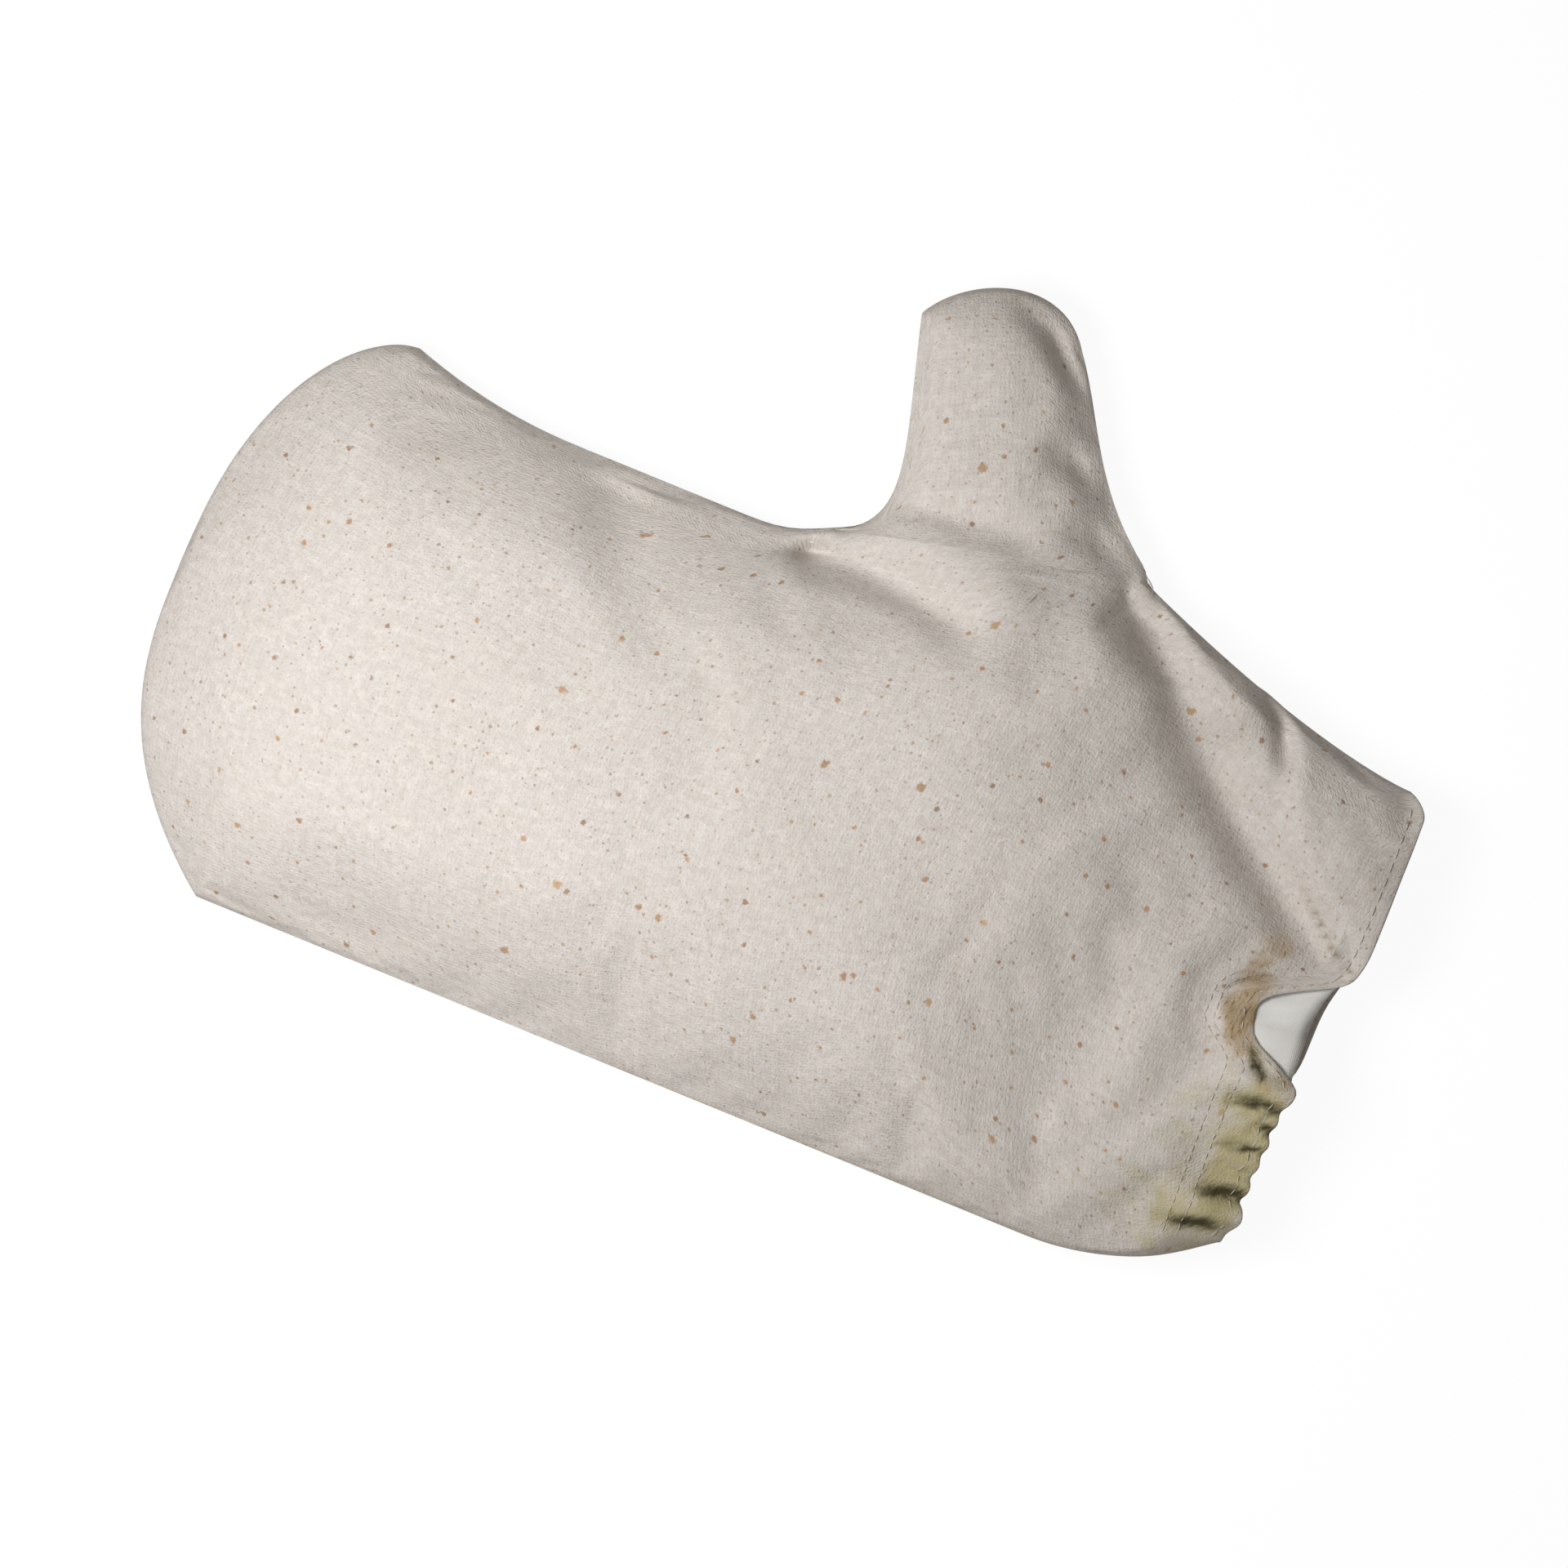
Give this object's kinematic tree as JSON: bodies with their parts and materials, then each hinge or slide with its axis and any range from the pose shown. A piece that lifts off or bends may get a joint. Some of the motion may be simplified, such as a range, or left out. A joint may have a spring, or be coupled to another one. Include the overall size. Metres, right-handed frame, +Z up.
{
  "type": "herbal compress mitten",
  "caption": "Lined cotton canvas mitten with a thumb, a herb pad sewn over the palm and a cuff gathered by elastic, worn on the hand to press warm herbs on the body.",
  "frame": {"origin": "on the table under the middle of the palm, in the plane of the back's flat face", "axes": "+X runs from the fingertips to the cuff, +Y towards the thumb, +Z up out of the palm side; the mitten lies on its back with the palm up"},
  "size_m": [0.3053, 0.2149, 0.0334],
  "materials": {
    "canvas": "undyed plain-weave cotton canvas with seed flecks",
    "lining": "white plain cotton",
    "muslin": "open undyed muslin",
    "herbs": "loose dried herbs",
    "elastic": "woven white elastic",
    "thread": "spun sewing thread"
  },
  "bodies": {
    "root": {"front_canvas": "canvas", "back_canvas": "canvas", "front_lining": "lining", "back_lining": "lining", "wrist_elastic": "elastic", "pouch_front": "muslin", "pouch_back": "muslin", "herb_filling": "herbs", "outline_seam_thread": "thread", "pouch_seam_thread": "thread", "front_hem_thread": "thread", "back_hem_thread": "thread", "elastic_thread": "thread"}
  },
  "joints": []
}
